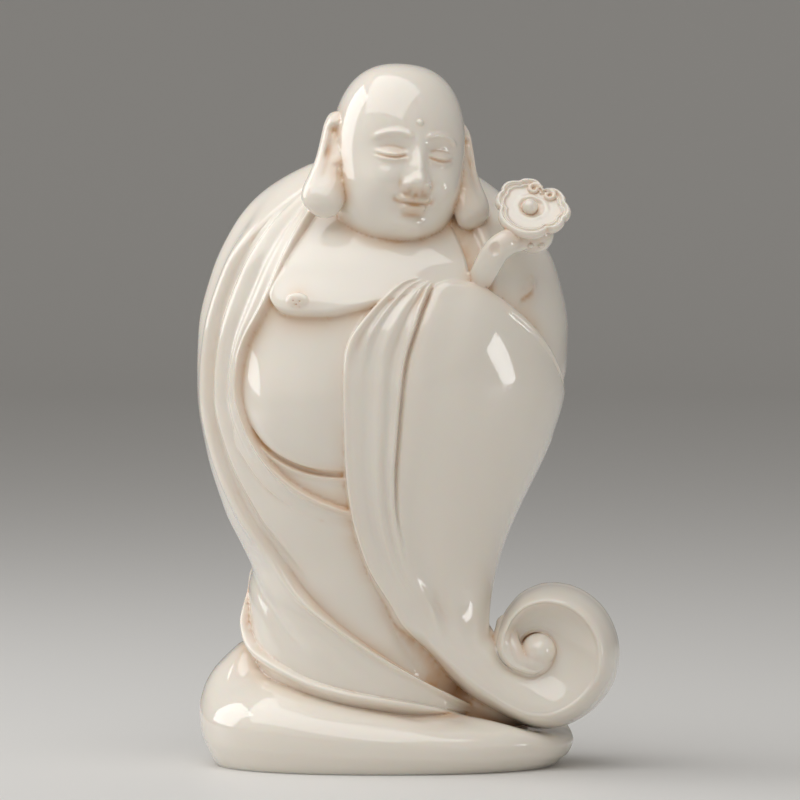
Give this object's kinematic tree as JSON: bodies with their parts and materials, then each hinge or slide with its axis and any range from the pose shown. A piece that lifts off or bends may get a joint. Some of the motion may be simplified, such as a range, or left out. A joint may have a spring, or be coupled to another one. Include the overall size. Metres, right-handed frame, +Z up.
{
  "type": "budai figure",
  "caption": "Standing figure of a stout monk in ivory-glazed white porcelain, robe swept into a coil at the foot, holding a short sceptre.",
  "frame": {"origin": "middle of the base on its flat underside", "axes": "+Z up along the figure's height, -Y the way it faces, +X towards the coil of the sleeve's tail"},
  "size_m": [0.194, 0.1431, 0.3214],
  "materials": {
    "ivory_glaze": "clear high-gloss glaze over warm ivory white porcelain"
  },
  "bodies": {
    "root": {"monk_figure": "ivory_glaze"}
  },
  "joints": []
}
